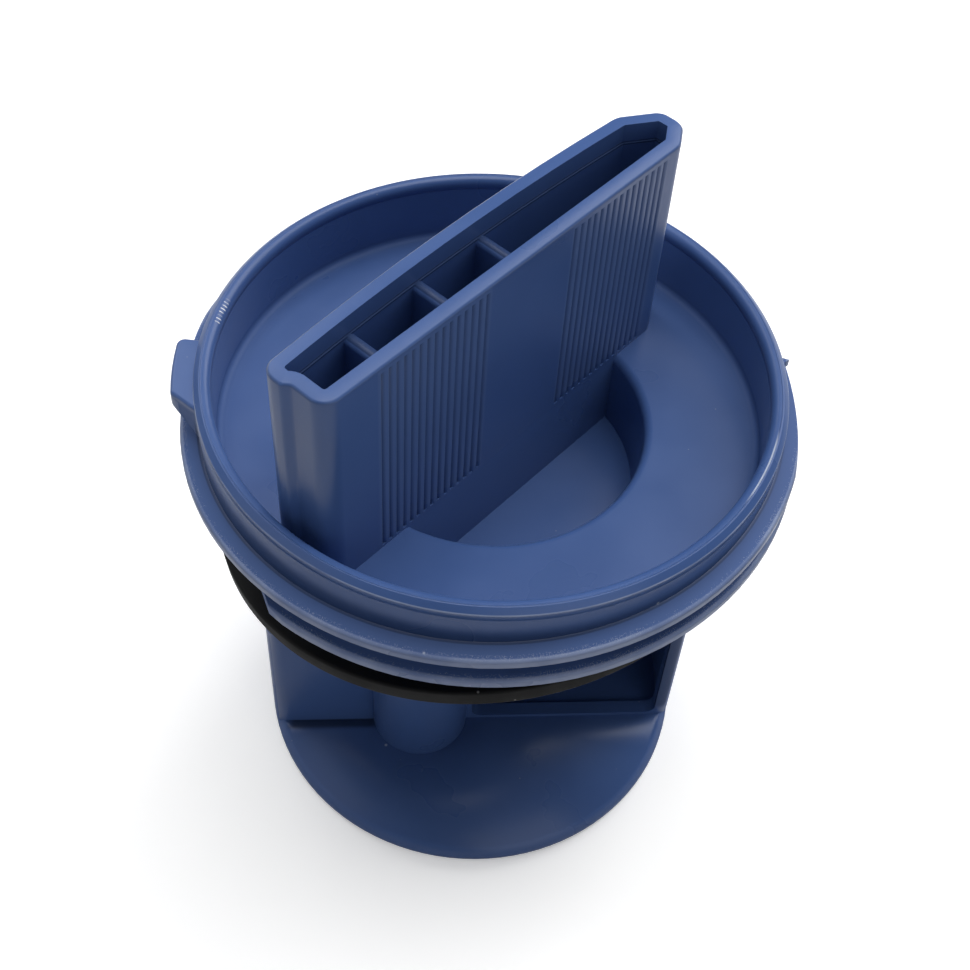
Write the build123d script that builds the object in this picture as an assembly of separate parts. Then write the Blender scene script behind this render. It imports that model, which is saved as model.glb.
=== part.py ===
from build123d import *
import math
import os

# All sizes in millimetres. +Z up, origin on the screw axis at the underside of the foot disc,
# the grip bar lies along X. Angles in degrees, counted from +X towards +Y.

# Heights
FOOT_THK = 3.2
SHOULDER_Z = 57.8
NECK_H = 10.8
LEDGE_H = 4.8
LIP_H = 9.4
GRIP_H = 21.0
WELL_DEPTH = 10.6

# Round sizes
LIP_R = 35.5
LIP_WALL = 2.0
LIP_INNER_BEVEL = 1.0
LIP_OUTER_BEVEL = 0.7
LEDGE_BEVEL = 0.8
BODY_R = 30.4
BODY_WALL = 2.0
FOOT_LOW_BEVEL = 1.2
FOOT_TOP_BEVEL = 0.9
WELL_R = 19.4
WELL_DRAFT_ANGLE = 3.0
WELL_EDGE_R = 1.1
CUP_WALL = 1.8
PLATE_THK = 2.0

# Two-start screw thread with a stop block at the end of one start
THREAD_H = 2.35
THREAD_LEAD = 7.8
THREAD_STARTS = 2
THREAD_TURN_ANGLE = 328.8
THREAD_GAP = 1.55
THREAD_CREST_W = 1.5
THREAD_ROOT_W = 2.7
THREAD_EDGE_BEVEL = 0.35
THREAD_SINK = 0.5
THREAD_FIRST_ANGLE = 173.2
LEAD_IN_KNEE_ANGLE = 7.4
LEAD_IN_KNEE_H = 2.1
LEAD_IN_ANGLE = 10.8
RUN_OUT_ANGLE = 25.0
RUN_OUT_DROP = 0.95
NIB_ANGLE = 2.4
NIB_H = 1.1
STOP_PROUD = 2.7
STOP_FROM_ANGLE = 126.5
STOP_TO_ANGLE = 140.0
STOP_ROOT_ANGLE = 146.0
STOP_TOP_DROP = 0.8
STOP_H = 4.9
STOP_RIM_H = 2.0
STOP_CORNER_R = 1.0
STOP_EDGE_R = 0.5

# Grip bar, hollow and open at the top. Its far end is cut to a blunt point, its near end is
# square with a shallow step down the end face, and its back face is bowed.
GRIP_NEAR_GAP = 1.4
GRIP_FAR_GAP = 4.2
GRIP_FRONT_V = 4.6
GRIP_BACK_V = 4.1
GRIP_BOW = 1.1
GRIP_FAR_FRONT_CUT = 3.4
GRIP_FAR_BACK_CUT = 4.7
GRIP_TIP_FRONT_V = 2.4
GRIP_TIP_BACK_V = 0.9
GRIP_STEP_DEPTH = 0.7
GRIP_STEP_V = 0.2
GRIP_STEP_RUN = 0.8
GRIP_STEP_R = 0.8
GRIP_WALL = 1.85
GRIP_INNER_R = 0.15
GRIP_RIM_BEVEL = 0.35
RIB_PLACES = (-20.8, -10.1, 0.1)
RIB_THK = 1.6
RIB_DROP = 2.6
CAVITY_STEP = 0.2
GROOVE_COUNT = 15
GROOVE_PITCH = 1.14
GROOVE_FIRST = 7.25
GROOVE_W = 0.7
GROOVE_DEPTH = 0.3
GROOVE_TOP_GAP = 0.9
GROOVE_LOW_GAP = 0.4

# Lower body: round shell with its front cut back to an upright wall
WALL_ANGLE = -135.0
WALL_OFFSET = 8.4
WALL_THK = 2.0
WALL_END_R = 2.2
POST_PLACE = -8.1
POST_R = 7.0
WINDOW_POST_GAP = 0.7
WINDOW_JAMB_W = 1.9
WINDOW_SILL = 0.6
WINDOW_HEAD = 3.0
WINDOW_CORNER_R = 1.5

# Seal ring, slipped down on one side of the neck
SEAL_PLAY = 0.9
SEAL_W = 3.7
SEAL_THK = 2.4
SEAL_BEVEL = 0.25
SEAL_TILT_ANGLE = 8.9
SEAL_LOW_ANGLE = 108.0
SEAL_CLEAR = 0.1

# Sizes that follow from the ones above
neck_z = SHOULDER_Z - NECK_H
ledge_z = SHOULDER_Z + LEDGE_H
ledge_low_z = ledge_z - PLATE_THK
lip_z = ledge_z + LIP_H
grip_top_z = lip_z + GRIP_H
well_floor_z = ledge_z - WELL_DEPTH
head_inner_r = LIP_R - LIP_WALL
body_inner_r = BODY_R - BODY_WALL
cup_r = WELL_R + CUP_WALL
thread_root_r = LIP_R - THREAD_SINK
thread_crest_r = LIP_R + THREAD_H
stop_r = LIP_R + STOP_PROUD
seal_inner_r = BODY_R + SEAL_PLAY
seal_r = seal_inner_r + SEAL_W

os.makedirs("parts", exist_ok=True)


def ring(outer_r, inner_r, z_low, z_high):
    """Plain tube round the screw axis."""
    tube = Cylinder(outer_r, z_high - z_low) - Cylinder(inner_r, z_high - z_low)
    return Pos(0, 0, (z_low + z_high) / 2) * tube


def disc(radius, z_low, z_high):
    """Plain disc on the screw axis."""
    return Pos(0, 0, (z_low + z_high) / 2) * Cylinder(radius, z_high - z_low)


def upright(face, z_low, z_high):
    """Stand a plan outline up between two heights."""
    return extrude(Pos(0, 0, z_low) * face, z_high - z_low)


def polar(radius, angle):
    """Plan point from radius and angle."""
    return (radius * math.cos(math.radians(angle)), radius * math.sin(math.radians(angle)))


def nearest(corners, point):
    """The corner that lies closest to a plan point."""
    return corners.sort_by(lambda corner: math.hypot(corner.X - point[0], corner.Y - point[1]))[0]


# Threaded head: shoulder, wall and lip turned in one profile
head_profile = make_face(Polyline(
    (0, ledge_low_z),
    (body_inner_r, ledge_low_z),
    (body_inner_r, SHOULDER_Z),
    (LIP_R, SHOULDER_Z),
    (LIP_R, lip_z - LIP_OUTER_BEVEL),
    (LIP_R - LIP_OUTER_BEVEL, lip_z),
    (head_inner_r + LIP_INNER_BEVEL, lip_z),
    (head_inner_r, lip_z - LIP_INNER_BEVEL),
    (head_inner_r, ledge_z + LEDGE_BEVEL),
    (head_inner_r - LEDGE_BEVEL, ledge_z),
    (0, ledge_z),
    close=True,
))
head = revolve(Plane.XZ * head_profile, Axis.Z)

# Thread ridges: a trapezoid with bevelled crest edges, carried along a helix. Each starts with a
# wedge-shaped lead-in and loses height over a run-out. The last one ends in a small pointed nib.
crest_half = THREAD_CREST_W / 2
root_half = THREAD_ROOT_W / 2
thread_profile = make_face(Polyline(
    (thread_root_r, -root_half),
    (thread_crest_r - THREAD_EDGE_BEVEL, -crest_half),
    (thread_crest_r, THREAD_EDGE_BEVEL - crest_half),
    (thread_crest_r, crest_half - THREAD_EDGE_BEVEL),
    (thread_crest_r - THREAD_EDGE_BEVEL, crest_half),
    (thread_root_r, root_half),
    close=True,
))
thread_rise = THREAD_LEAD * THREAD_TURN_ANGLE / 360
thread_path = Helix(THREAD_LEAD, thread_rise, LIP_R)
ridge = sweep(Plane.XZ * thread_profile, path=thread_path, is_frenet=True)
lead_cut = make_face(Polyline(
    polar(LIP_R, 0),
    polar(LIP_R + LEAD_IN_KNEE_H, LEAD_IN_KNEE_ANGLE),
    polar(thread_crest_r, LEAD_IN_ANGLE),
    polar(LIP_R + 2 * THREAD_H, LEAD_IN_ANGLE),
    polar(LIP_R + 2 * THREAD_H, -LEAD_IN_ANGLE),
    polar(LIP_R, -LEAD_IN_ANGLE),
    close=True,
))
ridge = ridge - extrude(lead_cut, THREAD_LEAD / THREAD_STARTS, both=True)
run_out_offset = RUN_OUT_DROP / (1 - math.cos(math.radians(RUN_OUT_ANGLE)))
run_out_r = thread_crest_r - RUN_OUT_DROP + run_out_offset
run_out = Pos(-run_out_offset, 0, thread_rise) * Cylinder(run_out_r, 2 * THREAD_LEAD)
ridge = ridge & (Rot(0, 0, THREAD_TURN_ANGLE) * run_out)
nib_plan = make_face(Polyline(
    polar(thread_root_r, -NIB_ANGLE),
    polar(thread_crest_r, 0),
    polar(thread_root_r, NIB_ANGLE),
    close=True,
))
nib = Pos(0, 0, thread_rise - NIB_H / 2) * extrude(nib_plan, NIB_H)
thread_z = SHOULDER_Z + THREAD_GAP + crest_half
ridges = []
for start in range(THREAD_STARTS):
    ridge_frame = Pos(0, 0, thread_z) * Rot(0, 0, THREAD_FIRST_ANGLE + start * 360 / THREAD_STARTS)
    ridges.append(ridge_frame * ridge)
ridges[-1] = ridges[-1] + ridge_frame * Rot(0, 0, THREAD_TURN_ANGLE) * nib

# Stop block over the upper end of the first ridge, which ends below the middle of the block. The block
# thins towards its rim, with a sloping underside.
stop_top_z = lip_z - STOP_TOP_DROP
stop_mid_angle = (STOP_FROM_ANGLE + STOP_TO_ANGLE) / 2
stop_face = make_face([
    Line(polar(thread_root_r, STOP_FROM_ANGLE), polar(stop_r, STOP_FROM_ANGLE)),
    ThreePointArc(polar(stop_r, STOP_FROM_ANGLE), polar(stop_r, stop_mid_angle), polar(stop_r, STOP_TO_ANGLE)),
    Line(polar(stop_r, STOP_TO_ANGLE), polar(thread_root_r, STOP_ROOT_ANGLE)),
    Line(polar(thread_root_r, STOP_ROOT_ANGLE), polar(thread_root_r, STOP_FROM_ANGLE)),
])
for angle in (STOP_FROM_ANGLE, STOP_TO_ANGLE):
    stop_face = fillet(nearest(stop_face.vertices(), polar(stop_r, angle)), STOP_CORNER_R)
stop_block = upright(stop_face, stop_top_z - STOP_H, stop_top_z)
stop_rims = stop_block.edges().group_by(Axis.Z)[-1].sort_by(
    lambda edge: math.hypot(edge.center().X, edge.center().Y)
)
stop_block = fillet(stop_rims[1:], STOP_EDGE_R)
stop_profile = make_face(Polyline(
    (thread_root_r, stop_top_z - STOP_H),
    (LIP_R, stop_top_z - STOP_H),
    (stop_r, stop_top_z - STOP_RIM_H),
    (stop_r, stop_top_z),
    (thread_root_r, stop_top_z),
    close=True,
))
stop_block = stop_block & revolve(Plane.XZ * stop_profile, Axis.Z)
stop_room_plan = make_face(Polyline(
    polar(thread_root_r, stop_mid_angle),
    polar(2 * stop_r, stop_mid_angle),
    polar(2 * stop_r, STOP_ROOT_ANGLE),
    polar(thread_root_r, STOP_ROOT_ANGLE),
    close=True,
))
ridges[0] = ridges[0] - upright(stop_room_plan, stop_top_z - STOP_H - root_half, lip_z)

# Central cup, neck and foot disc
cup = disc(cup_r, well_floor_z - PLATE_THK, ledge_z)
foot = disc(BODY_R, 0, FOOT_THK)
foot = chamfer(foot.edges().group_by(Axis.Z)[0], FOOT_LOW_BEVEL)
foot = chamfer(foot.edges().group_by(Axis.Z)[-1], FOOT_TOP_BEVEL)
neck = ring(BODY_R, body_inner_r, neck_z, SHOULDER_Z + PLATE_THK / 2)

# Upright wall across the body, square to WALL_ANGLE, with its outer corners rounded
wall_frame = Rot(0, 0, WALL_ANGLE)
back_half = Pos(WALL_OFFSET - BODY_R, 0, neck_z / 2) * Box(2 * BODY_R, 2 * BODY_R, neck_z)
core_half = Pos(WALL_OFFSET - WALL_THK - BODY_R, 0, neck_z / 2) * Box(2 * BODY_R, 2 * BODY_R, neck_z)
barrel = disc(BODY_R, FOOT_THK / 2, neck_z) & back_half
barrel = fillet(barrel.edges().filter_by(Axis.Z), WALL_END_R)
barrel = barrel - (disc(body_inner_r, 0, neck_z) & core_half)
wall_slab = Pos(WALL_OFFSET - WALL_THK / 2, 0, ledge_z / 2) * Box(WALL_THK, 2 * BODY_R, ledge_z)
wall_top = disc(BODY_R - BODY_WALL / 2, neck_z, ledge_z - PLATE_THK / 2) & wall_slab

# Half-round hollow post standing proud of the wall
post_low_z = FOOT_THK / 2
post_h = well_floor_z - PLATE_THK / 2 - post_low_z
post_frame = Pos(WALL_OFFSET - WALL_THK / 2, POST_PLACE, post_low_z + post_h / 2)
post_front = Pos(POST_R - WALL_THK / 2, 0, 0) * Box(2 * POST_R, 2 * POST_R, post_h)
post = post_frame * (Cylinder(POST_R, post_h) & post_front)
post_core = post_frame * Pos(0, 0, -PLATE_THK) * Cylinder(POST_R - BODY_WALL, post_h)

# Window through the wall, from beside the post to a jamb at the end of the wall
wall_half = math.sqrt(BODY_R ** 2 - WALL_OFFSET ** 2)
window_from = POST_PLACE + POST_R + WINDOW_POST_GAP
window_to = wall_half - WINDOW_JAMB_W
window_low = FOOT_THK + WINDOW_SILL
window_high = neck_z - WINDOW_HEAD
window_face = RectangleRounded(window_to - window_from, window_high - window_low, WINDOW_CORNER_R)
window_place = Pos(WALL_OFFSET, (window_from + window_to) / 2, (window_low + window_high) / 2)
window = window_place * extrude(Plane.YZ * window_face, 2 * WALL_THK, both=True)
lower = wall_frame * (barrel + wall_top + post - window - post_core)

# Plan outline of the grip bar
near_u = -(head_inner_r - GRIP_NEAR_GAP)
step_u = near_u + GRIP_STEP_DEPTH
far_u = head_inner_r - GRIP_FAR_GAP
bow_far = (far_u - GRIP_FAR_BACK_CUT, GRIP_BACK_V)
bow_near = (near_u, GRIP_BACK_V)
bow_mid = ((bow_far[0] + bow_near[0]) / 2, GRIP_BACK_V + GRIP_BOW)
front_near = (step_u, -GRIP_FRONT_V)
front_far = (far_u - GRIP_FAR_FRONT_CUT, -GRIP_FRONT_V)
tip_front = (far_u, -GRIP_TIP_FRONT_V)
tip_back = (far_u, GRIP_TIP_BACK_V)
step_back = (near_u, GRIP_STEP_V + GRIP_STEP_RUN)
step_front = (step_u, GRIP_STEP_V)
grip_corner_r = GRIP_WALL + CAVITY_STEP + GRIP_INNER_R
bow = ThreePointArc(bow_far, bow_mid, bow_near)
grip_face = make_face([
    Line(front_near, front_far),
    Line(front_far, tip_front),
    Line(tip_front, tip_back),
    Line(tip_back, bow_far),
    bow,
    Line(bow_near, step_back),
    Line(step_back, step_front),
    Line(step_front, front_near),
])
for corner, radius in (
    (front_near, grip_corner_r),
    (bow_near, grip_corner_r),
    (front_far, grip_corner_r),
    (tip_front, grip_corner_r),
    (tip_back, grip_corner_r),
    (bow_far, grip_corner_r),
    (step_back, GRIP_STEP_R),
    (step_front, GRIP_STEP_R),
):
    grip_face = fillet(nearest(grip_face.vertices(), corner), radius)
cavity_face = offset(grip_face, -GRIP_WALL)
cavity_low_plan = offset(grip_face, -GRIP_WALL - CAVITY_STEP)
grip = upright(grip_face, ledge_low_z, grip_top_z)
grip = chamfer(grip.edges().group_by(Axis.Z)[-1], GRIP_RIM_BEVEL)

# Wells sunk into the ledge on both sides of the grip, with a rounded rim
insert = head + cup + foot + neck + lower
well_plan = Circle(WELL_R) - grip_face
for well_side in well_plan.faces():
    well = extrude(Pos(0, 0, ledge_z) * well_side, -WELL_DEPTH, taper=WELL_DRAFT_ANGLE)
    insert = insert - well
rim = insert.edges().filter_by(GeomType.CIRCLE).filter_by(
    lambda edge: abs(edge.center().Z - ledge_z) < WELL_EDGE_R and abs(edge.radius - WELL_R) < WELL_EDGE_R
)
insert = fillet(rim, WELL_EDGE_R)

# Grip with its cavity, which narrows by a small step at the tops of its cross ribs and runs deeper
# over the cup
insert = insert + grip
rib_top_z = grip_top_z - RIB_DROP
cavity_low_u = 2 * (WELL_R - CUP_WALL)
cavity_low_v = GRIP_FRONT_V + GRIP_BACK_V - 2 * (GRIP_WALL + CAVITY_STEP)
cavity_low_face = Pos(0, (GRIP_BACK_V - GRIP_FRONT_V) / 2) * Rectangle(cavity_low_u, cavity_low_v)
cavity_low = upright(cavity_low_face, well_floor_z, lip_z)
cavity = upright(cavity_face, rib_top_z, grip_top_z)
cavity = cavity + upright(cavity_low_plan, ledge_z, rib_top_z) + cavity_low
rib_v = 2 * (GRIP_FRONT_V + GRIP_BACK_V + GRIP_BOW)
rib_h = rib_top_z - RIB_THK / 2
for place in RIB_PLACES:
    rib = Pos(place, 0, rib_h / 2) * Box(RIB_THK, rib_v, rib_h)
    rib_crest = Pos(place, 0, rib_h) * Rot(90, 0, 0) * Cylinder(RIB_THK / 2, rib_v)
    cavity = cavity - (rib + rib_crest)
insert = insert - cavity

# Finger grooves down both faces of the grip, in two bands
groove_low_z = ledge_z + GROOVE_LOW_GAP
groove_high_z = grip_top_z - GROOVE_TOP_GAP
groove_v = make_face(Polyline(
    (-GROOVE_W / 2, 0),
    (0, GROOVE_DEPTH),
    (GROOVE_W / 2, 0),
    (GROOVE_W / 2, -GROOVE_DEPTH),
    (-GROOVE_W / 2, -GROOVE_DEPTH),
    close=True,
))
groove_cut = upright(groove_v, groove_low_z, groove_high_z)
grooves = []
for step in range(GROOVE_COUNT):
    place = GROOVE_FIRST + step * GROOVE_PITCH
    for u in (place, -place):
        on_bow = bow @ ((bow_far[0] - u) / (bow_far[0] - bow_near[0]))
        grooves.append(Pos(u, -GRIP_FRONT_V, 0) * groove_cut)
        grooves.append(Pos(on_bow.X, on_bow.Y, 0) * Rot(0, 0, 180) * groove_cut)
insert = insert - grooves

for ridge_part in ridges:
    insert = insert + ridge_part
insert = insert + stop_block

# Seal ring tilted so that its high side lies against the shoulder
tilt = math.radians(SEAL_TILT_ANGLE)
seal_z = SHOULDER_Z - SEAL_CLEAR - seal_r * math.sin(tilt) - SEAL_THK / 2 * math.cos(tilt)
seal = Cylinder(seal_r, SEAL_THK) - Cylinder(seal_inner_r, SEAL_THK)
seal = chamfer(seal.edges().filter_by(GeomType.CIRCLE), SEAL_BEVEL)
seal = Pos(0, 0, seal_z) * Rot(0, 0, SEAL_LOW_ANGLE) * Rot(0, SEAL_TILT_ANGLE, 0) * seal

export_step(insert, "parts/filter_insert.step")
export_step(seal, "parts/seal_ring.step")
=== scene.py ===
import math

import bpy
import numpy as np
from mathutils import Matrix


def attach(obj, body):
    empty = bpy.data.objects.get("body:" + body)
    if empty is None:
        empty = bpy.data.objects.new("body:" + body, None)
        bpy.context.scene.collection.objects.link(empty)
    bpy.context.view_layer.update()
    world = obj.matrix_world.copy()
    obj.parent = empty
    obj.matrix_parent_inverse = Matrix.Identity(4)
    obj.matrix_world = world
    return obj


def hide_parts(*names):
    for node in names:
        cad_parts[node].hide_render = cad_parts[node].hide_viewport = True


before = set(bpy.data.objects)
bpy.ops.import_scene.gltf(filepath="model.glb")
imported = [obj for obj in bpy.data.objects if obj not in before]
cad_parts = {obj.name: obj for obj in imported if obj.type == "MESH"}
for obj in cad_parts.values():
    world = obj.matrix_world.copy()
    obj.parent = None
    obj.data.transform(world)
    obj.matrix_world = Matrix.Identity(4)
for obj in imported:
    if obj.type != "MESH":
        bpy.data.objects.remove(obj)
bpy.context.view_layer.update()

MM = 0.001

# Camera, fitted in millimetres with the lip's centre as origin, then turned and lifted into the part's frame
LIP_Z = 72.0
VIEW_TURN = math.radians(-51.0)
FOCAL_PX = 1541.974
IMAGE_PX = 970.0
SENSOR_MM = 36.0
VIEW_ELEVATION = 0.896793209
VIEW_ROLL = -0.0722842323
VIEW_SHIFT = np.array([0.984793268, -14.3384418, 184.190521])
NEAR_CLIP = 0.01
FAR_CLIP = 20.0


def place_camera():
    """Camera whose rows are right, down and forward. Elevation tips forward down, and roll turns right and down
    about it."""
    forward = np.array([0.0, math.cos(VIEW_ELEVATION), -math.sin(VIEW_ELEVATION)])
    right = np.array([1.0, 0.0, 0.0])
    down = np.cross(forward, right)
    c, s = math.cos(VIEW_ROLL), math.sin(VIEW_ROLL)
    rows = np.array([c * right + s * down, -s * right + c * down, forward])
    turn = np.array([
        [math.cos(VIEW_TURN), -math.sin(VIEW_TURN), 0.0],
        [math.sin(VIEW_TURN), math.cos(VIEW_TURN), 0.0],
        [0.0, 0.0, 1.0],
    ])
    matrix = np.eye(4)
    matrix[:3, :3] = turn @ np.array([rows[0], -rows[1], -rows[2]]).T
    matrix[:3, 3] = (turn @ (-rows.T @ VIEW_SHIFT) + np.array([0.0, 0.0, LIP_Z])) * MM
    data = bpy.data.cameras.new("view")
    data.sensor_fit = "HORIZONTAL"
    data.sensor_width = SENSOR_MM
    data.lens = FOCAL_PX / IMAGE_PX * SENSOR_MM
    data.clip_start = NEAR_CLIP
    data.clip_end = FAR_CLIP
    camera = bpy.data.objects.new("view", data)
    bpy.context.scene.collection.objects.link(camera)
    camera.matrix_world = Matrix(matrix.tolist())
    bpy.context.scene.camera = camera


# Lights: direction as seen in the picture (across, away, up) and power in watts
LIGHTS = (
    ("top_light", (0.05, 0.08, 1.0), 4.0),
    ("back_right_light", (0.7, 0.7, 0.8), 3.9),
    ("back_left_light", (-0.7, 0.7, 0.8), 2.4),
    ("front_right_light", (0.5, -0.9, 0.35), 1.15),
    ("left_light", (-1.0, -0.4, 0.4), 0.7),
)
LIGHT_AIM = np.array([0.0, 0.0, 0.06])
LIGHT_DISTANCE = 0.8
LIGHT_SIZE = 0.6
WORLD_STRENGTH = 0.07
WHITE = (1.0, 1.0, 1.0, 1.0)
BLACK = (0.0, 0.0, 0.0, 1.0)


def photo_direction(across, away, up):
    """A direction given as seen in the picture, turned into the part's frame."""
    c, s = math.cos(VIEW_TURN), math.sin(VIEW_TURN)
    vector = np.array([c * across - s * away, s * across + c * away, up])
    return vector / np.linalg.norm(vector)


def soft_light(name, direction, power):
    """Square area light on a ray from the part's middle, facing back at it."""
    side = np.cross([0.0, 0.0, 1.0], direction)
    side = side / np.linalg.norm(side)
    matrix = np.eye(4)
    matrix[:3, 0] = side
    matrix[:3, 1] = np.cross(direction, side)
    matrix[:3, 2] = direction
    matrix[:3, 3] = LIGHT_AIM + direction * LIGHT_DISTANCE
    data = bpy.data.lights.new(name, "AREA")
    data.shape = "SQUARE"
    data.size = LIGHT_SIZE
    data.energy = power
    light = bpy.data.objects.new(name, data)
    bpy.context.scene.collection.objects.link(light)
    light.matrix_world = Matrix(matrix.tolist())


# Shader nodes
def add_node(tree, kind, inputs=(), **settings):
    """Make a shader node, set its options, then set or link its inputs by name or number."""
    made = tree.nodes.new(kind)
    for key, value in settings.items():
        setattr(made, key, value)
    for key, value in dict(inputs).items():
        if isinstance(value, bpy.types.NodeSocket):
            tree.links.new(value, made.inputs[key])
        else:
            made.inputs[key].default_value = value
    return made


def calc(tree, operation, first, second=0.0, third=0.0):
    """One sum on values, given as the output it comes out of."""
    return add_node(tree, "ShaderNodeMath", {0: first, 1: second, 2: third}, operation=operation).outputs[0]


def ramp(tree, value, low, high, to_low=0.0, to_high=1.0):
    """A smooth rise from to_low to to_high while the value goes from low to high."""
    inputs = {"Value": value, "From Min": low, "From Max": high, "To Min": to_low, "To Max": to_high}
    return add_node(tree, "ShaderNodeMapRange", inputs, interpolation_type="SMOOTHSTEP").outputs[0]


def noise(tree, vector, scale, detail=2.0):
    """Value of a noise texture of a given scale."""
    inputs = {"Vector": vector, "Scale": scale, "Detail": detail}
    return add_node(tree, "ShaderNodeTexNoise", inputs).outputs["Fac"]


def blend_colour(tree, share, under, over):
    """The under colour with a share of the over colour laid on it."""
    return add_node(tree, "ShaderNodeMix", {0: share, 6: under, 7: over}, data_type="RGBA").outputs[2]


def new_group(name, inputs, outputs):
    """Empty node group with named sockets: inputs as label, kind and value, outputs as label and kind."""
    group = bpy.data.node_groups.new(name, "ShaderNodeTree")
    for label, kind, value in inputs:
        socket = group.interface.new_socket(label, in_out="INPUT", socket_type="NodeSocket" + kind)
        if value is not None:
            socket.default_value = value
    for label, kind in outputs:
        group.interface.new_socket(label, in_out="OUTPUT", socket_type="NodeSocket" + kind)
    return group, group.nodes.new("NodeGroupInput").outputs, group.nodes.new("NodeGroupOutput").inputs


def new_material(name):
    """Empty node material with a Principled shader joined to its output."""
    material = bpy.data.materials.new(name)
    material.use_nodes = True
    tree = material.node_tree
    tree.nodes.clear()
    output = tree.nodes.new("ShaderNodeOutputMaterial")
    shader = tree.nodes.new("ShaderNodeBsdfPrincipled")
    tree.links.new(shader.outputs["BSDF"], output.inputs["Surface"])
    return material, tree, shader


# Shared effects. Sizes are in millimetres, and a scale counts a pattern's cells in one metre
MM_PER_METRE = 1000.0


def place_group():
    """Place on the part: millimetres out from the screw axis, millimetres up from the foot, and degrees round."""
    group, given, out = new_group(
        "place_on_part",
        [("Vector", "Vector", None)],
        [("Radius", "Float"), ("Height", "Float"), ("Angle", "Float")],
    )
    split = add_node(group, "ShaderNodeSeparateXYZ", {0: given["Vector"]}).outputs
    x_square = calc(group, "MULTIPLY", split["X"], split["X"])
    y_square = calc(group, "MULTIPLY", split["Y"], split["Y"])
    radius = calc(group, "SQRT", calc(group, "ADD", x_square, y_square))
    turn = calc(group, "ARCTAN2", split["Y"], split["X"])
    group.links.new(calc(group, "MULTIPLY", radius, MM_PER_METRE), out["Radius"])
    group.links.new(calc(group, "MULTIPLY", split["Z"], MM_PER_METRE), out["Height"])
    group.links.new(calc(group, "DEGREES", turn), out["Angle"])
    return group


def band_group():
    """Mask that is one between two values and falls off softly outside them."""
    group, given, out = new_group(
        "band",
        [("Value", "Float", 0.0), ("Low", "Float", 0.0), ("High", "Float", 1.0), ("Soft", "Float", 0.1)],
        [("Mask", "Float")],
    )
    rise = ramp(group, given["Value"], calc(group, "SUBTRACT", given["Low"], given["Soft"]), given["Low"])
    fall = ramp(group, given["Value"], given["High"], calc(group, "ADD", given["High"], given["Soft"]))
    mask = calc(group, "MULTIPLY", rise, calc(group, "SUBTRACT", 1.0, fall))
    group.links.new(mask, out["Mask"])
    return group


def grain_group():
    """Moulded grain: fine noise over coarse noise as a height, and a slow mottle, for a grain of a given size."""
    group, given, out = new_group(
        "moulded_grain",
        [("Vector", "Vector", None), ("Size", "Float", 0.4), ("Mottle Size", "Float", 12.0)],
        [("Height", "Float"), ("Mottle", "Float")],
    )
    coarseness, fine_share, coarse_share = 0.22, 0.6, 0.4
    mottle_detail = 3.0
    scale = calc(group, "DIVIDE", MM_PER_METRE, given["Size"])
    slow = calc(group, "DIVIDE", MM_PER_METRE, given["Mottle Size"])
    fine = noise(group, given["Vector"], scale)
    coarse = noise(group, given["Vector"], calc(group, "MULTIPLY", scale, coarseness))
    height = calc(group, "MULTIPLY_ADD", fine, fine_share, calc(group, "MULTIPLY", coarse, coarse_share))
    group.links.new(height, out["Height"])
    group.links.new(noise(group, given["Vector"], slow, mottle_detail), out["Mottle"])
    return group


def speck_group():
    """Scattered specks: cells of a given size, of which a share holds one round speck. A fine noise makes its reach
    ragged, and it fades from its core to that reach."""
    group, given, out = new_group(
        "specks",
        [("Vector", "Vector", None), ("Size", "Float", 0.3), ("Share", "Float", 0.1), ("Width", "Float", 0.3)],
        [("Mask", "Float")],
    )
    raggedness, least_reach, core = 2.5, 0.5, 0.5
    scale = calc(group, "DIVIDE", MM_PER_METRE, given["Size"])
    cells = add_node(group, "ShaderNodeTexVoronoi", {"Vector": given["Vector"], "Scale": scale})
    ragged = noise(group, given["Vector"], calc(group, "MULTIPLY", scale, raggedness))
    pick = add_node(group, "ShaderNodeSeparateColor", {0: cells.outputs["Color"]}).outputs[0]
    chosen = calc(group, "LESS_THAN", pick, given["Share"])
    reach = calc(group, "MULTIPLY", given["Width"], calc(group, "ADD", ragged, least_reach))
    dot = ramp(group, cells.outputs["Distance"], reach, calc(group, "MULTIPLY", reach, core))
    group.links.new(calc(group, "MULTIPLY", chosen, dot), out["Mask"])
    return group


def facing_up_group():
    """Mask for surface that faces up, where dust and wear lie."""
    group, given, out = new_group("facing_up", [("From", "Float", 0.5), ("To", "Float", 0.9)], [("Mask", "Float")])
    normal = add_node(group, "ShaderNodeNewGeometry").outputs["Normal"]
    upward = add_node(group, "ShaderNodeSeparateXYZ", {0: normal}).outputs["Z"]
    group.links.new(ramp(group, upward, given["From"], given["To"]), out["Mask"])
    return group


def mark_group():
    """Mask for one small round mark of a given width, in metres, at a place on the part. It is full within a quarter
    of the width from that place and gone at half the width."""
    group, given, out = new_group(
        "mark",
        [("Vector", "Vector", None), ("Place", "Vector", None), ("Width", "Float", 0.0005)],
        [("Mask", "Float")],
    )
    inputs = {0: given["Vector"], 1: given["Place"]}
    away = add_node(group, "ShaderNodeVectorMath", inputs, operation="DISTANCE").outputs["Value"]
    inner = calc(group, "MULTIPLY", given["Width"], 0.25)
    outer = calc(group, "MULTIPLY", given["Width"], 0.5)
    group.links.new(ramp(group, away, outer, inner), out["Mask"])
    return group


PLACE = place_group()
BAND = band_group()
GRAIN = grain_group()
SPECKS = speck_group()
FACING_UP = facing_up_group()
MARK = mark_group()


def use_group(tree, group, **inputs):
    """Outputs of a shared effect placed in a material with its own values."""
    named = {key.replace("_", " "): value for key, value in inputs.items()}
    return add_node(tree, "ShaderNodeGroup", named, node_tree=group).outputs


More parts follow.
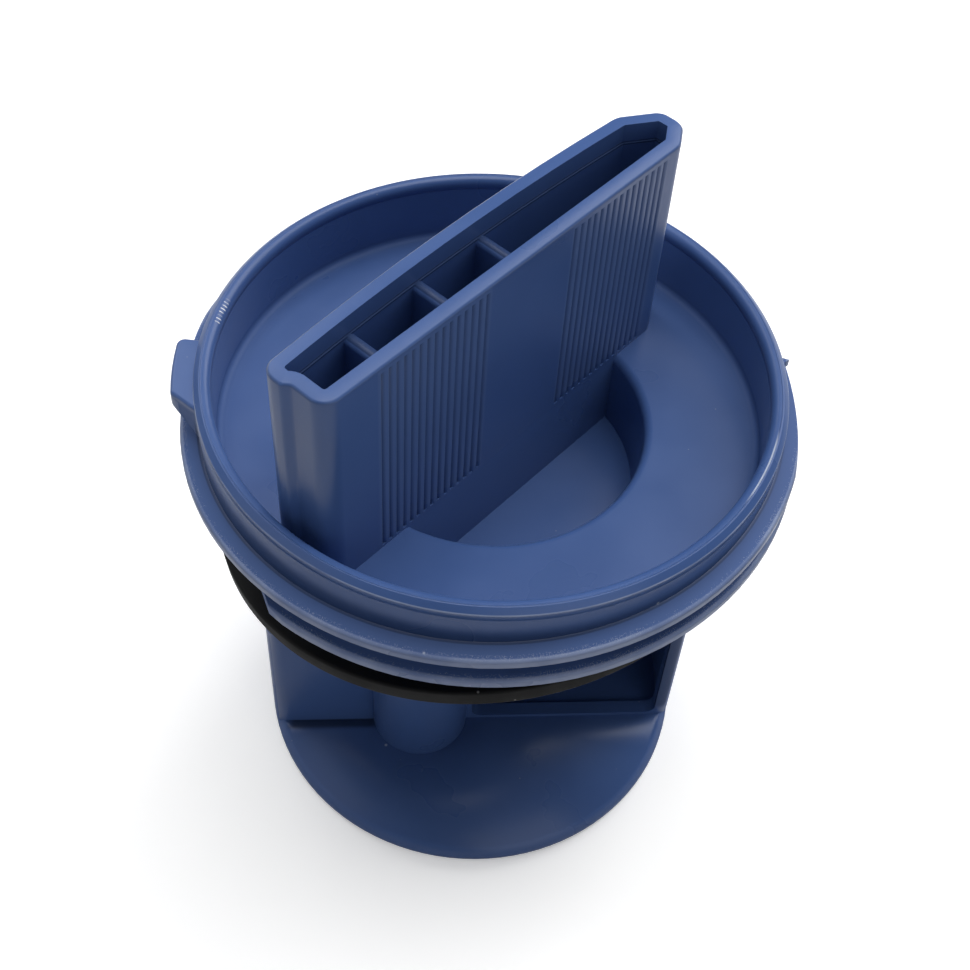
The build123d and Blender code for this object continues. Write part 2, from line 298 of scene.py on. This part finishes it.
def zone(tree, value, limits):
    """Mask for a value that lies in a zone given as low, high and softness."""
    low, high, soft = limits
    return use_group(tree, BAND, Value=value, Low=low, High=high, Soft=soft)["Mask"]


def product(tree, *masks):
    """Several masks multiplied together."""
    total = masks[0]
    for mask in masks[1:]:
        total = calc(tree, "MULTIPLY", total, mask)
    return total


def largest(tree, *masks):
    """Several masks laid over each other."""
    total = masks[0]
    for mask in masks[1:]:
        total = calc(tree, "MAXIMUM", total, mask)
    return total


def single_marks(tree, spot, marks):
    """Mask for a list of single marks, each given as its place and width."""
    return largest(tree, *[
        use_group(tree, MARK, Vector=spot, Place=centre, Width=width)["Mask"] for centre, width in marks
    ])


# Meshes
def grid_mesh(name, points, wrap_u, wrap_v):
    """Quad mesh over a grid of points [u, v, xyz], joined up where a parameter comes round."""
    nu, nv = points.shape[:2]
    iu = np.arange(nu if wrap_u else nu - 1)
    iv = np.arange(nv if wrap_v else nv - 1)
    a, b = np.meshgrid(iu, iv, indexing="ij")
    a2, b2 = (a + 1) % nu, (b + 1) % nv
    quads = np.stack([a * nv + b, a2 * nv + b, a2 * nv + b2, a * nv + b2], axis=-1).reshape(-1, 4)
    mesh = bpy.data.meshes.new(name)
    mesh.from_pydata(points.reshape(-1, 3).tolist(), [], quads.tolist())
    mesh.polygons.foreach_set("use_smooth", np.ones(len(quads), dtype=bool))
    mesh.update()
    return mesh


def add_piece(name, mesh, material):
    """Put a mesh into the scene as a piece of the part, with its finish."""
    piece = bpy.data.objects.new(name, mesh)
    bpy.context.scene.collection.objects.link(piece)
    mesh.materials.append(material)
    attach(piece, "root")
    return piece


SMOOTH_ANGLE = math.radians(50.0)
PATCH_ANGLE = math.radians(26.0)
MERGE_STEP = 1e-7
LEAST_AREA = 1e-14


def linked_sets(count, first, second):
    """Number for each of count things such that things linked in pairs, straight or in a chain, share the lowest
    one."""
    mark = np.arange(count)
    while True:
        low = np.minimum(mark[first], mark[second])
        after = mark.copy()
        np.minimum.at(after, first, low)
        np.minimum.at(after, second, low)
        after = after[after]
        if np.array_equal(after, mark):
            return mark
        mark = after


def smooth_moulding(node):
    """The moulding's surface with its loose triangles joined and shaded as soft-edged plastic. Corners that share a
    place become one. Triangles that bend little against their neighbours form a patch. The shading direction at a
    triangle's corner is the sum, over the triangles round it that no sharp edge parts from it and that face much the
    same way, of each one's normal times its angle there times its patch's area, so that a narrow bevel shades as a
    rounding between the two faces it joins."""
    source = node.data
    flat = np.empty(len(source.vertices) * 3)
    source.vertices.foreach_get("co", flat)
    corners = flat.reshape(-1, 3)
    source.calc_loop_triangles()
    triangles = np.empty(len(source.loop_triangles) * 3, dtype=np.int64)
    source.loop_triangles.foreach_get("vertices", triangles)
    keys = np.round(corners / MERGE_STEP).astype(np.int64)
    _, first, back = np.unique(keys, axis=0, return_index=True, return_inverse=True)
    points = corners[first]
    faces = back.reshape(-1)[triangles].reshape(-1, 3)
    sides = np.roll(points[faces], -1, axis=1) - points[faces]
    normals = np.cross(sides[:, 0], sides[:, 1])
    areas = np.linalg.norm(normals, axis=1) / 2
    whole = areas > LEAST_AREA
    faces, sides, normals, areas = faces[whole], sides[whole], normals[whole], areas[whole]
    normals = normals / (2 * areas[:, None])
    unit = sides / np.linalg.norm(sides, axis=2, keepdims=True)
    corner_angles = np.arccos(np.clip(-np.sum(unit * np.roll(unit, 1, axis=1), axis=2), -1.0, 1.0))

    # Patches of triangles that bend little
    count = len(faces)
    starts, ends = faces, np.roll(faces, -1, axis=1)
    edge_keys = (np.minimum(starts, ends) * len(points) + np.maximum(starts, ends)).reshape(-1)
    order = np.argsort(edge_keys, kind="stable")
    paired = np.flatnonzero(edge_keys[order][1:] == edge_keys[order][:-1])
    one, two = order[paired], order[paired + 1]
    face_one, face_two = one // 3, two // 3
    bends = np.arccos(np.clip(np.sum(normals[face_one] * normals[face_two], axis=1), -1.0, 1.0))
    patch = linked_sets(count, face_one[bends < PATCH_ANGLE], face_two[bends < PATCH_ANGLE])
    patch_area = np.bincount(patch, weights=areas, minlength=count)[patch]

    # Fans of triangle corners round a point that no sharp edge parts, and the pull of each on the others
    soft = bends < SMOOTH_ANGLE
    one, two = one[soft], two[soft]
    one_next, two_next = one // 3 * 3 + (one + 1) % 3, two // 3 * 3 + (two + 1) % 3
    fan = linked_sets(3 * count, np.concatenate([one, one_next]), np.concatenate([two_next, two]))
    weights = (corner_angles * patch_area[:, None]).reshape(-1)
    facing = np.repeat(normals, 3, axis=0)
    order = np.argsort(fan, kind="stable")
    _, begin, size = np.unique(fan[order], return_index=True, return_counts=True)
    begin, size = np.repeat(begin, size), np.repeat(size, size)
    own = np.repeat(np.arange(3 * count), size)
    step = np.arange(len(own)) - np.repeat(np.cumsum(size) - size, size)
    other = order[begin[own] + step]
    own = order[own]
    near = np.sum(facing[own] * facing[other], axis=1) > math.cos(SMOOTH_ANGLE)
    pull = (weights[other] * near)[:, None] * facing[other]
    summed = np.stack([np.bincount(own, weights=pull[:, k], minlength=3 * count) for k in range(3)], axis=1)
    shading = summed / np.linalg.norm(summed, axis=1, keepdims=True)

    mesh = bpy.data.meshes.new("moulding")
    mesh.from_pydata(points.tolist(), [], faces.tolist())
    mesh.polygons.foreach_set("use_smooth", np.ones(count, dtype=bool))
    mesh.update()
    mesh.normals_split_custom_set(shading.tolist())
    return mesh


# Lip rim, in millimetres
LIP_INNER_R = 33.5
LIP_OUTER_R = 35.5
LIP_ROUND = 1.0
LIP_BEVEL = 0.7
LIP_EASE = 0.16
LIP_BEAD_R = 0.045
LIP_BEAD_GAP = 0.1
LIP_PROUD = 0.015
LIP_ROOT_TOP = 1.6
LIP_ROOT_SINK = 0.3
LIP_CORNER_DEG = 45.0
LIP_STEPS = 360
LIP_ROUND_POINTS = 14
LIP_BEAD_POINTS = 7
LIP_EASE_POINTS = 5


def arc_points(centre, radius, start, stop, count):
    """Points on a circle in the profile plane, from one angle to another in degrees: the centre plus the radius times
    the cosine and the sine."""
    turn = np.radians(np.linspace(start, stop, count))
    return np.stack([centre[0] + radius * np.cos(turn), centre[1] + radius * np.sin(turn)], axis=-1)


def turned_ring(name, profile):
    """Closed profile of radius and height, in millimetres, turned about the screw axis: x is radius times the cosine
    of the turn, y radius times its sine."""
    turn = np.linspace(0.0, 2 * math.pi, LIP_STEPS, endpoint=False)[:, None]
    radius, height = profile[None, :, 0], profile[None, :, 1]
    points = np.stack([radius * np.cos(turn), radius * np.sin(turn), height + 0 * turn], axis=-1) * MM
    return grid_mesh(name, points, True, True)


def lip_profile():
    """Rim of the head wall as radius and height: a quarter circle for the inner edge, a half circle for the fine bead
    on the crown, two eighths of a circle that ease the outer bevel's corners, and a straight root sunk in the wall."""
    top = LIP_Z + LIP_PROUD
    inner, outer = LIP_INNER_R - LIP_PROUD, LIP_OUTER_R + LIP_PROUD
    reach = LIP_EASE * math.tan(math.radians(LIP_CORNER_DEG / 2))
    crown_end = outer - LIP_BEVEL - reach
    root_top = top - LIP_ROOT_TOP
    root_low = root_top - LIP_ROOT_SINK
    inside = arc_points((inner + LIP_ROUND, top - LIP_ROUND), LIP_ROUND, 180.0, 90.0, LIP_ROUND_POINTS)
    bead = arc_points((crown_end - LIP_BEAD_GAP, top), LIP_BEAD_R, 180.0, 0.0, LIP_BEAD_POINTS)
    bevel_end = top - LIP_BEVEL - reach
    upper = arc_points((crown_end, top - LIP_EASE), LIP_EASE, 90.0, LIP_CORNER_DEG, LIP_EASE_POINTS)
    lower = arc_points((outer - LIP_EASE, bevel_end), LIP_EASE, LIP_CORNER_DEG, 0.0, LIP_EASE_POINTS)
    root_out = np.array([[outer, root_top], [outer - LIP_ROOT_SINK, root_low]])
    root_in = np.array([[inner + LIP_ROOT_SINK, root_low], [inner, root_top]])
    return np.concatenate([inside, bead, upper, lower, root_out, root_in])[::-1]


# Seal, in millimetres
SEAL_MID_R = 33.15
SEAL_W = 3.7
SEAL_THK = 2.4
SEAL_CORNER_R = 0.42
SEAL_TILT = math.radians(8.9)
SEAL_LOW_ANGLE = math.radians(108.0)
SEAL_TOP_Z = 57.7
SEAL_Z = SEAL_TOP_Z - (SEAL_MID_R + SEAL_W / 2) * math.sin(SEAL_TILT) - SEAL_THK / 2 * math.cos(SEAL_TILT)
SEAL_STEPS = 300
SEAL_CORNER_POINTS = 7
SEAL_SLOW_WAVE = 0.008
SEAL_SLOW_COUNT = 5
SEAL_SLOW_START = 0.6
SEAL_QUICK_WAVE = 0.004
SEAL_QUICK_COUNT = 13


def seal_surface():
    """Rubber ring: a flat section with rounded corners carried round a circle, its width and thickness times one less
    two shallow sine waves of the turn, a slow one and a quick one. The ring is then tipped by its tilt, turned so that
    its low side hangs where it does on the neck, and lifted to its height."""
    half = np.array([SEAL_W / 2, SEAL_THK / 2]) - SEAL_CORNER_R
    section = np.concatenate([
        arc_points((sx * half[0], sz * half[1]), SEAL_CORNER_R, start, start + 90.0, SEAL_CORNER_POINTS)
        for sx, sz, start in ((1, 1, 0.0), (-1, 1, 90.0), (-1, -1, 180.0), (1, -1, 270.0))
    ])
    turn = np.linspace(0.0, 2 * math.pi, SEAL_STEPS, endpoint=False)[:, None]
    slow = SEAL_SLOW_WAVE * (1.0 + np.sin(SEAL_SLOW_COUNT * turn + SEAL_SLOW_START))
    quick = SEAL_QUICK_WAVE * (1.0 + np.sin(SEAL_QUICK_COUNT * turn))
    breathe = 1.0 - slow - quick
    radius = SEAL_MID_R + section[None, :, 0] * breathe
    height = section[None, :, 1] * breathe
    flat = np.stack([radius * np.cos(turn), radius * np.sin(turn), height + 0 * turn], axis=-1)
    c, s = math.cos(SEAL_TILT), math.sin(SEAL_TILT)
    tip = np.array([[c, 0.0, s], [0.0, 1.0, 0.0], [-s, 0.0, c]])
    c, s = math.cos(SEAL_LOW_ANGLE), math.sin(SEAL_LOW_ANGLE)
    turned = np.array([[c, -s, 0.0], [s, c, 0.0], [0.0, 0.0, 1.0]])
    points = flat @ (turned @ tip).T + np.array([0.0, 0.0, SEAL_Z])
    return grid_mesh("seal_surface", points * MM, True, True)


# Plastic
PLASTIC_DEEP = (0.049, 0.099, 0.264, 1.0)
PLASTIC_PALE = (0.056, 0.111, 0.290, 1.0)
PLASTIC_IOR = 1.49
PLASTIC_SPECULAR = 0.36
PLASTIC_BUMP = {"Strength": 0.12, "Distance": 0.00005}
DULLING = 0.35
FROST_RISE = 1.5

# Ramps over the plastic, each as where it starts and ends and, if not nought to one, from what to what it goes
PALE_MOTTLE = (0.3, 0.7)
ROUGH_MOTTLE = (0.3, 0.7, 0.27, 0.36)
FROST_PATCHES = (0.38, 0.56, 0.12, 0.6)
CREST_PATCHES = (0.3, 0.65, 0.25, 0.6)
EDGE_HIGHLIGHT_PATCHES = (0.35, 0.6, 0.12, 0.6)
SCUFF_STRIPES = (0.45, 0.95)
SCUFF_BREAKS = (0.38, 0.58, 0.15, 0.9)
VALLEY_FADE = (69.2, 66.9)

# Zones of the plastic, each as low, high and softness: millimetres out from the screw axis or up from the foot, or
# degrees round the axis
FROST_RADIUS = (37.1, 37.5, 0.25)
FLANK_RADIUS = (35.7, 37.6, 0.2)
FLANK_HEIGHT = (59.0, 70.0, 1.0)
CREST_RADIUS = (37.5, 40.0, 0.2)
CREST_HEIGHT = (59.0, 70.0, 0.5)
VALLEY_RADIUS = (35.2, 35.75, 0.15)
VALLEY_HEIGHT = (58.5, 70.0, 0.5)
LEDGE_CORNER_RADIUS = (32.6, 33.6, 0.3)
LEDGE_CORNER_HEIGHT = (62.0, 63.5, 0.4)
EDGE_HIGHLIGHT_RADIUS = (35.4, 35.56, 0.06)
EDGE_HIGHLIGHT_HEIGHT = (71.24, 71.36, 0.06)
CROWN_HIGHLIGHT_RADIUS = (34.5, 34.62, 0.06)
CROWN_HIGHLIGHT_HEIGHT = (71.9, 72.2, 0.05)
CROWN_HIGHLIGHT_ANGLE = (-78.0, -68.0, 6.0)
SCUFF_RADIUS = (33.75, 34.15, 0.15)
SCUFF_HEIGHT = (71.3, 73.0, 0.2)
SCUFF_SPAN = (-3.4, 3.4, 0.6)
SCUFF_ANGLE = 119.2
SCUFF_PITCH = 0.95
GROOVE_HEIGHT = (63.0, 92.1, 0.2)
PAD_HEIGHT = (64.0, 92.4, 0.4)
STEP_HEIGHT = (90.25, 90.5, 0.12)
WALL_FOOT_HEIGHT = (2.9, 3.4, 0.15)
JAMB_HEIGHT = (6.0, 50.0, 2.0)

# Zones in metres: along and across the grip bar, and ahead of and along the upright wall
GROOVE_ACROSS = (-0.00442, -0.0042, 0.0001)
GROOVE_ALONG = (0.0069, 0.0237, 0.0001)
PAD_ACROSS = (-0.0060, -0.0042, 0.0001)
PAD_ALONG = (0.0069, 0.0237, 0.0004)
STEP_ALONG = (-0.0302, 0.0277, 0.0002)
STEP_ACROSS = (-0.0034, 0.0036, 0.0001)
WALL_FOOT_AHEAD = (0.0083, 0.0092, 0.0010)
WALL_FOOT_ALONG = (-0.0268, -0.0155, 0.0016)
JAMB_AHEAD = (0.0080, 0.0090, 0.0004)
JAMB_ALONG = (0.0268, 0.0310, 0.0004)

# How dark the painted shade lies in each place
GROOVE_SHADE = 0.25
WALL_FOOT_SHADE = 0.75
STEP_SHADE = 0.6
JAMB_SHADE = 0.5
VALLEY_SHADE = 0.5

# Layers on the plastic, each as its strength and colour
# Finger pads paler partly from wear and partly from painted sheen
PAD_WEAR_AND_SHEEN = (0.6, (0.09, 0.15, 0.33, 1.0))
# Painted shade: near-black laid where shade falls in the grooves, corners, grip's hollow, window's side and thread's
# valley
PAINTED_SHADE = (1.0, (0.004, 0.008, 0.025, 1.0))
# Painted highlight on the thread's crests and the lug's outer faces
CREST_HIGHLIGHT = (0.95, (0.33, 0.39, 0.56, 1.0))
# Painted highlight line along the lip's outer edge
EDGE_HIGHLIGHT = (1.0, (0.36, 0.42, 0.58, 1.0))
FROST = (0.7, (0.5, 0.55, 0.64, 1.0))
# Short painted highlight on the lip's crown
CROWN_HIGHLIGHT = (0.7, (0.6, 0.66, 0.78, 1.0))
DUST = (0.35, (0.35, 0.38, 0.42, 1.0))
PALE_MARKS = (0.55, (0.5, 0.56, 0.66, 1.0))
SCUFF = (1.0, (0.8, 0.82, 0.86, 1.0))

# Single marks, each as its place and width in metres
PLASTIC_MARKS = (
    ((-0.01022, -0.03398, 0.06714), 0.00050),
    ((-0.03202, -0.01924, 0.06560), 0.00040),
    ((-0.01842, 0.00031, 0.00320), 0.00055),
)
RUBBER_MARKS = (
    ((-0.02628, -0.02252, 0.05435), 0.00040),
    ((-0.02351, -0.02584, 0.05307), 0.00035),
    ((-0.01890, -0.02990, 0.05430), 0.00035),
)


def thread_masks(tree, spot, place, up, patchy):
    """The thread's frosted specks on the outer third of the upper flanks, a painted highlight on its crests, painted
    shade in its valley, which fades up the head wall, and its dull flanks."""
    flank_height = zone(tree, place["Height"], FLANK_HEIGHT)
    thick = ramp(tree, patchy, *FROST_PATCHES)
    specks = use_group(tree, SPECKS, Vector=spot, Size=0.1, Share=thick, Width=0.4)["Mask"]
    frost = product(tree, specks, zone(tree, place["Radius"], FROST_RADIUS), flank_height, up)
    crest = product(
        tree,
        zone(tree, place["Radius"], CREST_RADIUS),
        zone(tree, place["Height"], CREST_HEIGHT),
        ramp(tree, patchy, *CREST_PATCHES),
    )
    valley = product(
        tree,
        zone(tree, place["Radius"], VALLEY_RADIUS),
        zone(tree, place["Height"], VALLEY_HEIGHT),
        ramp(tree, place["Height"], *VALLEY_FADE),
    )
    flank = product(tree, zone(tree, place["Radius"], FLANK_RADIUS), flank_height)
    return frost, crest, valley, flank


def lip_masks(tree, spot, place, patchy):
    """The lip's painted highlight line on its outer edge, a short painted highlight on its crown, and a short row of
    tool marks: stripes that follow the sine of the turn, broken up by a fine mottle."""
    edge_highlight = product(
        tree,
        zone(tree, place["Radius"], EDGE_HIGHLIGHT_RADIUS),
        zone(tree, place["Height"], EDGE_HIGHLIGHT_HEIGHT),
        ramp(tree, patchy, *EDGE_HIGHLIGHT_PATCHES),
    )
    crown_highlight = product(
        tree,
        zone(tree, place["Radius"], CROWN_HIGHLIGHT_RADIUS),
        zone(tree, place["Height"], CROWN_HIGHLIGHT_HEIGHT),
        zone(tree, place["Angle"], CROWN_HIGHLIGHT_ANGLE),
    )
    along = calc(tree, "SUBTRACT", place["Angle"], SCUFF_ANGLE)
    wave = calc(tree, "SINE", calc(tree, "MULTIPLY", along, 2 * math.pi / SCUFF_PITCH))
    broken = use_group(tree, GRAIN, Vector=spot, Size=0.5, Mottle_Size=0.8)["Mottle"]
    scuff = product(
        tree,
        ramp(tree, wave, *SCUFF_STRIPES),
        ramp(tree, broken, *SCUFF_BREAKS),
        zone(tree, along, SCUFF_SPAN),
        zone(tree, place["Radius"], SCUFF_RADIUS),
        zone(tree, place["Height"], SCUFF_HEIGHT),
    )
    return edge_highlight, crown_highlight, scuff


def grip_masks(tree, side, place):
    """Masks for painted shade in the grip bar's finger grooves and at the step inside its hollow, and for the pads the
    grooves lie in.
    """
    out_along = calc(tree, "ABSOLUTE", side["X"])
    groove = product(
        tree,
        zone(tree, side["Y"], GROOVE_ACROSS),
        zone(tree, out_along, GROOVE_ALONG),
        zone(tree, place["Height"], GROOVE_HEIGHT),
    )
    pads = product(
        tree,
        zone(tree, side["Y"], PAD_ACROSS),
        zone(tree, out_along, PAD_ALONG),
        zone(tree, place["Height"], PAD_HEIGHT),
    )
    step = product(
        tree,
        zone(tree, place["Height"], STEP_HEIGHT),
        zone(tree, side["X"], STEP_ALONG),
        zone(tree, side["Y"], STEP_ACROSS),
    )
    return groove, pads, step


def lower_masks(tree, side, place):
    """Masks for painted shade in the corner where the upright wall meets the foot and on the cut side of the window.
    The wall stands square to the line at minus 135 degrees, so the way ahead of it is the sum of x and y over the root
    of two, turned round, and the way along it is their difference over the root of two."""
    ahead = calc(tree, "MULTIPLY", calc(tree, "ADD", side["X"], side["Y"]), -math.sqrt(0.5))
    along = calc(tree, "MULTIPLY", calc(tree, "SUBTRACT", side["X"], side["Y"]), math.sqrt(0.5))
    wall_foot = product(
        tree,
        zone(tree, ahead, WALL_FOOT_AHEAD),
        zone(tree, along, WALL_FOOT_ALONG),
        zone(tree, place["Height"], WALL_FOOT_HEIGHT),
    )
    jamb = product(
        tree,
        zone(tree, ahead, JAMB_AHEAD),
        zone(tree, along, JAMB_ALONG),
        zone(tree, place["Height"], JAMB_HEIGHT),
    )
    return wall_foot, jamb


def plastic_finish():
    """Blue satin moulded plastic, slightly mottled, with a painted highlight on the crests, finger pads paler from
    wear and from painted sheen, frosted ridge flanks, painted highlight lines and tool marks on the lip, painted shade
    in the thread's valley, the finger grooves, the grip's hollow, the window's side and the wall's foot, three single
    pale marks and a little pale dust."""
    material, tree, shader = new_material("blue_moulded_plastic")
    spot = add_node(tree, "ShaderNodeTexCoord").outputs["Object"]
    side = add_node(tree, "ShaderNodeSeparateXYZ", {0: spot}).outputs
    place = use_group(tree, PLACE, Vector=spot)
    grain = use_group(tree, GRAIN, Vector=spot, Size=0.45, Mottle_Size=14.0)
    patchy = use_group(tree, GRAIN, Vector=spot, Size=2.0, Mottle_Size=9.0)["Mottle"]
    up = use_group(tree, FACING_UP, From=0.35, To=0.8)["Mask"]

    frost, crest, valley, flank = thread_masks(tree, spot, place, up, patchy)
    edge_highlight, crown_highlight, scuff = lip_masks(tree, spot, place, patchy)
    groove, pads, step = grip_masks(tree, side, place)
    wall_foot, jamb = lower_masks(tree, side, place)
    dust = use_group(tree, SPECKS, Vector=spot, Size=1.1, Share=0.05, Width=0.11)["Mask"]
    # Painted shade in the finger grooves, at the wall's foot, at the grip's hollow step, on the window's side and in
    # the thread's valley
    painted_shade = largest(
        tree,
        calc(tree, "MULTIPLY", groove, GROOVE_SHADE),
        calc(tree, "MULTIPLY", wall_foot, WALL_FOOT_SHADE),
        calc(tree, "MULTIPLY", step, STEP_SHADE),
        calc(tree, "MULTIPLY", jamb, JAMB_SHADE),
        calc(tree, "MULTIPLY", valley, VALLEY_SHADE),
    )

    colour = blend_colour(tree, ramp(tree, grain["Mottle"], *PALE_MOTTLE), PLASTIC_DEEP, PLASTIC_PALE)
    for mask, (strength, over) in (
        (pads, PAD_WEAR_AND_SHEEN),
        (painted_shade, PAINTED_SHADE),
        (crest, CREST_HIGHLIGHT),
        (edge_highlight, EDGE_HIGHLIGHT),
        (frost, FROST),
        (crown_highlight, CROWN_HIGHLIGHT),
        (product(tree, dust, up), DUST),
        (single_marks(tree, spot, PLASTIC_MARKS), PALE_MARKS),
        (scuff, SCUFF),
    ):
        colour = blend_colour(tree, calc(tree, "MULTIPLY", mask, strength), colour, over)
    tree.links.new(colour, shader.inputs["Base Color"])

    corner = product(
        tree,
        zone(tree, place["Radius"], LEDGE_CORNER_RADIUS),
        zone(tree, place["Height"], LEDGE_CORNER_HEIGHT),
    )
    rough = ramp(tree, grain["Mottle"], *ROUGH_MOTTLE)
    rough = calc(tree, "MULTIPLY_ADD", largest(tree, corner, jamb, flank), DULLING, rough)
    tree.links.new(rough, shader.inputs["Roughness"])
    raised = calc(tree, "MULTIPLY_ADD", frost, FROST_RISE, grain["Height"])
    bump = add_node(tree, "ShaderNodeBump", {"Height": raised, **PLASTIC_BUMP})
    tree.links.new(bump.outputs[0], shader.inputs["Normal"])
    shader.inputs["IOR"].default_value = PLASTIC_IOR
    shader.inputs["Specular IOR Level"].default_value = PLASTIC_SPECULAR
    return material


# Rubber and floor
RUBBER_DEEP = (0.003, 0.0033, 0.004, 1.0)
RUBBER_BLOOM = (0.007, 0.0073, 0.0078, 1.0)
RUBBER_SPECULAR = 0.2
RUBBER_BUMP = {"Strength": 0.25, "Distance": 0.00006}
BLOOM_MOTTLE = (0.35, 0.75)
RUBBER_ROUGH_MOTTLE = (0.3, 0.7, 0.6, 0.74)
LINT_COLOUR = (0.25, 0.25, 0.24, 1.0)
LINT_STRENGTH = 0.5
BITS_STRENGTH = 0.6
FLOOR_DULL = (0.88, 0.88, 0.88, 1.0)
FLOOR_LIGHT = (0.91, 0.91, 0.91, 1.0)
FLOOR_BOUNCE = (0.42, 0.42, 0.42, 1.0)
FLOOR_GLOSS = (0.85, 0.85, 0.85, 1.0)
FLOOR_GLOW = 0.35
FLOOR_ROUGH = 0.9
FLOOR_REACH = 3.0


def rubber_finish():
    """Black rubber with a dull grey bloom, a matt grain, a few specks of lint and three single bits of it."""
    material, tree, shader = new_material("black_rubber")
    spot = add_node(tree, "ShaderNodeTexCoord").outputs["Object"]
    grain = use_group(tree, GRAIN, Vector=spot, Size=0.3, Mottle_Size=7.0)
    body = blend_colour(tree, ramp(tree, grain["Mottle"], *BLOOM_MOTTLE), RUBBER_DEEP, RUBBER_BLOOM)
    specks = use_group(tree, SPECKS, Vector=spot, Size=1.6, Share=0.05, Width=0.12)["Mask"]
    bits = single_marks(tree, spot, RUBBER_MARKS)
    lint = largest(
        tree,
        calc(tree, "MULTIPLY", specks, LINT_STRENGTH),
        calc(tree, "MULTIPLY", bits, BITS_STRENGTH),
    )
    tree.links.new(blend_colour(tree, lint, body, LINT_COLOUR), shader.inputs["Base Color"])
    tree.links.new(ramp(tree, grain["Mottle"], *RUBBER_ROUGH_MOTTLE), shader.inputs["Roughness"])
    bump = add_node(tree, "ShaderNodeBump", {"Height": grain["Height"], **RUBBER_BUMP})
    tree.links.new(bump.outputs[0], shader.inputs["Normal"])
    shader.inputs["Specular IOR Level"].default_value = RUBBER_SPECULAR
    return material


def floor_finish():
    """Plain white floor with a faint, slow unevenness. It shows white in the part's shine but throws little light back
    up at it."""
    material, tree, shader = new_material("white_floor")
    spot = add_node(tree, "ShaderNodeTexCoord").outputs["Object"]
    cloud = use_group(tree, GRAIN, Vector=spot, Size=2.0, Mottle_Size=300.0)["Mottle"]
    colour = blend_colour(tree, cloud, FLOOR_DULL, FLOOR_LIGHT)
    path = add_node(tree, "ShaderNodeLightPath").outputs
    seen = path["Is Camera Ray"]
    unseen = blend_colour(tree, path["Is Glossy Ray"], FLOOR_BOUNCE, FLOOR_GLOSS)
    tree.links.new(blend_colour(tree, seen, unseen, colour), shader.inputs["Base Color"])
    tree.links.new(blend_colour(tree, seen, BLACK, WHITE), shader.inputs["Emission Color"])
    shader.inputs["Roughness"].default_value = FLOOR_ROUGH
    shader.inputs["Emission Strength"].default_value = FLOOR_GLOW
    return material


# Pieces
plastic = plastic_finish()
rubber = rubber_finish()

insert = add_piece("insert_moulding", smooth_moulding(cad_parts["filter_insert"]), plastic)
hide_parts("filter_insert")
add_piece("lip_rim", turned_ring("lip_rim", lip_profile()), plastic)
seal = add_piece("seal", seal_surface(), rubber)
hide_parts("seal_ring")

# Floor
floor_ends = [-FLOOR_REACH, FLOOR_REACH]
floor_grid = np.zeros((2, 2, 3))
floor_grid[..., 0], floor_grid[..., 1] = np.meshgrid(floor_ends, floor_ends, indexing="ij")
floor = bpy.data.objects.new("floor", grid_mesh("floor", floor_grid, False, False))
bpy.context.scene.collection.objects.link(floor)
floor.data.materials.append(floor_finish())

# Light
scene = bpy.context.scene
scene.view_settings.view_transform = "Standard"
scene.world = bpy.data.worlds.new("studio")
scene.world.use_nodes = True
background = scene.world.node_tree.nodes["Background"].inputs
background["Color"].default_value = WHITE
background["Strength"].default_value = WORLD_STRENGTH
for name, direction, power in LIGHTS:
    soft_light(name, photo_direction(*direction), power)

place_camera()
